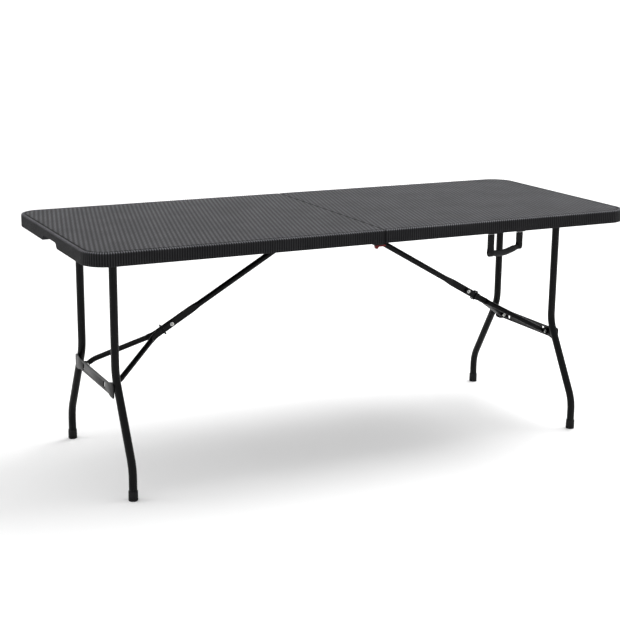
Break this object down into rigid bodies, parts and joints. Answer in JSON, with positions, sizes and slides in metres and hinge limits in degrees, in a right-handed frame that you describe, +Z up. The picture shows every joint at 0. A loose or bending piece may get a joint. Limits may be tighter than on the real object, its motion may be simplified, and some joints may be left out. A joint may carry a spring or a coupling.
{
  "type": "folding table",
  "caption": "Rectangular moulded table that folds in half, with a woven-look top, splayed folding leg frames, braces with sliding lock rings, latches and a carry handle.",
  "frame": {"origin": "on the floor under the middle of the open table", "axes": "+X along the length towards the half with the carry handle, +Y across the width away from the handle side, +Z up"},
  "size_m": [1.8, 0.74, 0.74],
  "materials": {
    "moulded_top": "moulded polyethylene with a woven relief",
    "coated_steel": "black powder coating, semi gloss",
    "foot_plastic": "soft black foot cap",
    "latch_plastic": "dark red moulded plastic",
    "dark_plastic": "near black moulded plastic",
    "webbing": "black woven webbing",
    "plated_steel": "zinc plated"
  },
  "bodies": {
    "left_half": {"latch_seat_front": "dark_plastic", "latch_seat_rear": "dark_plastic", "left_axle_saddle_front": "dark_plastic", "left_axle_saddle_rear": "dark_plastic", "left_brace_bracket": "coated_steel", "left_hinge_leaf_front": "plated_steel", "left_hinge_leaf_rear": "plated_steel", "left_rail_front": "coated_steel", "left_rail_rear": "coated_steel", "left_top": "moulded_top"},
    "right_half": {"handle_anchor_inner": "dark_plastic", "handle_anchor_outer": "dark_plastic", "right_axle_saddle_front": "dark_plastic", "right_axle_saddle_rear": "dark_plastic", "right_brace_bracket": "coated_steel", "right_hinge_leaf_front": "plated_steel", "right_hinge_leaf_rear": "plated_steel", "right_rail_front": "coated_steel", "right_rail_rear": "coated_steel", "right_top": "moulded_top"},
    "left_leg": {"left_axle": "coated_steel", "left_brace_bolt_front": "plated_steel", "left_brace_bolt_rear": "plated_steel", "left_cross_plate": "coated_steel", "left_foot_front": "foot_plastic", "left_foot_rear": "foot_plastic", "left_leg_front": "coated_steel", "left_leg_rear": "coated_steel"},
    "right_leg": {"right_axle": "coated_steel", "right_brace_bolt_front": "plated_steel", "right_brace_bolt_rear": "plated_steel", "right_cross_plate": "coated_steel", "right_foot_front": "foot_plastic", "right_foot_rear": "foot_plastic", "right_leg_front": "coated_steel", "right_leg_rear": "coated_steel"},
    "left_v_brace": {"left_knee_rivet_front": "plated_steel", "left_knee_rivet_rear": "plated_steel", "left_v_arm_front": "coated_steel", "left_v_arm_rear": "coated_steel"},
    "right_v_brace": {"right_knee_rivet_front": "plated_steel", "right_knee_rivet_rear": "plated_steel", "right_v_arm_front": "coated_steel", "right_v_arm_rear": "coated_steel"},
    "left_upper_arm": {"left_arm_sleeve": "coated_steel", "left_upper_arm": "coated_steel"},
    "right_upper_arm": {"right_arm_sleeve": "coated_steel", "right_upper_arm": "coated_steel"},
    "left_lock_ring": {"left_lock_ring": "coated_steel"},
    "right_lock_ring": {"right_lock_ring": "coated_steel"},
    "handle": {"handle_grip": "dark_plastic", "handle_strap_inner": "webbing", "handle_strap_outer": "webbing"},
    "front_latch": {"front_latch": "latch_plastic"},
    "rear_latch": {"rear_latch": "latch_plastic"}
  },
  "joints": [
    {"name": "center_fold", "type": "hinge", "parent": "left_half", "child": "right_half", "pos_m": [0, 0, 0.7], "axis": [0, 1, 0], "range_deg": [0, 90]},
    {"name": "left_leg_fold", "type": "hinge", "parent": "left_half", "child": "left_leg", "pos_m": [-0.764, 0, 0.716], "axis": [0, -1, 0], "range_deg": [0, 90]},
    {"name": "left_v_brace_turn", "type": "hinge", "parent": "left_leg", "child": "left_v_brace", "pos_m": [-0.764, 0, 0.293], "axis": [0, -1, 0], "range_deg": [0, 60.15]},
    {"name": "left_upper_arm_turn", "type": "hinge", "parent": "left_half", "child": "left_upper_arm", "pos_m": [-0.03, 0, 0.716], "axis": [0, 1, 0], "range_deg": [0, 30.05]},
    {"name": "left_lock_ring_slide", "type": "slide", "parent": "left_upper_arm", "child": "left_lock_ring", "axis": [0.8664, 0, 0.4993], "range_m": [0, 0.075]},
    {"name": "right_leg_fold", "type": "hinge", "parent": "right_half", "child": "right_leg", "pos_m": [0.764, 0, 0.716], "axis": [0, 1, 0], "range_deg": [0, 90]},
    {"name": "right_v_brace_turn", "type": "hinge", "parent": "right_leg", "child": "right_v_brace", "pos_m": [0.764, 0, 0.293], "axis": [0, 1, 0], "range_deg": [0, 60.15]},
    {"name": "right_upper_arm_turn", "type": "hinge", "parent": "right_half", "child": "right_upper_arm", "pos_m": [0.03, 0, 0.716], "axis": [0, -1, 0], "range_deg": [0, 30.05]},
    {"name": "right_lock_ring_slide", "type": "slide", "parent": "right_upper_arm", "child": "right_lock_ring", "axis": [-0.8664, 0, 0.4993], "range_m": [0, 0.075]},
    {"name": "handle_swing", "type": "hinge", "parent": "right_half", "child": "handle", "pos_m": [0.428, -0.359, 0.696], "axis": [1, 0, 0], "range_deg": [-80, 70]},
    {"name": "front_latch_slide", "type": "slide", "parent": "left_half", "child": "front_latch", "axis": [-1, 0, 0], "range_m": [0, 0.01]},
    {"name": "rear_latch_slide", "type": "slide", "parent": "left_half", "child": "rear_latch", "axis": [-1, 0, 0], "range_m": [0, 0.01]}
  ],
  "couplings": [
    {"joint": "left_v_brace_turn", "follows": "left_leg_fold", "ratio": 0.66717},
    {"joint": "left_upper_arm_turn", "follows": "left_leg_fold", "ratio": 0.33283},
    {"joint": "right_v_brace_turn", "follows": "right_leg_fold", "ratio": 0.66717},
    {"joint": "right_upper_arm_turn", "follows": "right_leg_fold", "ratio": 0.33283}
  ]
}
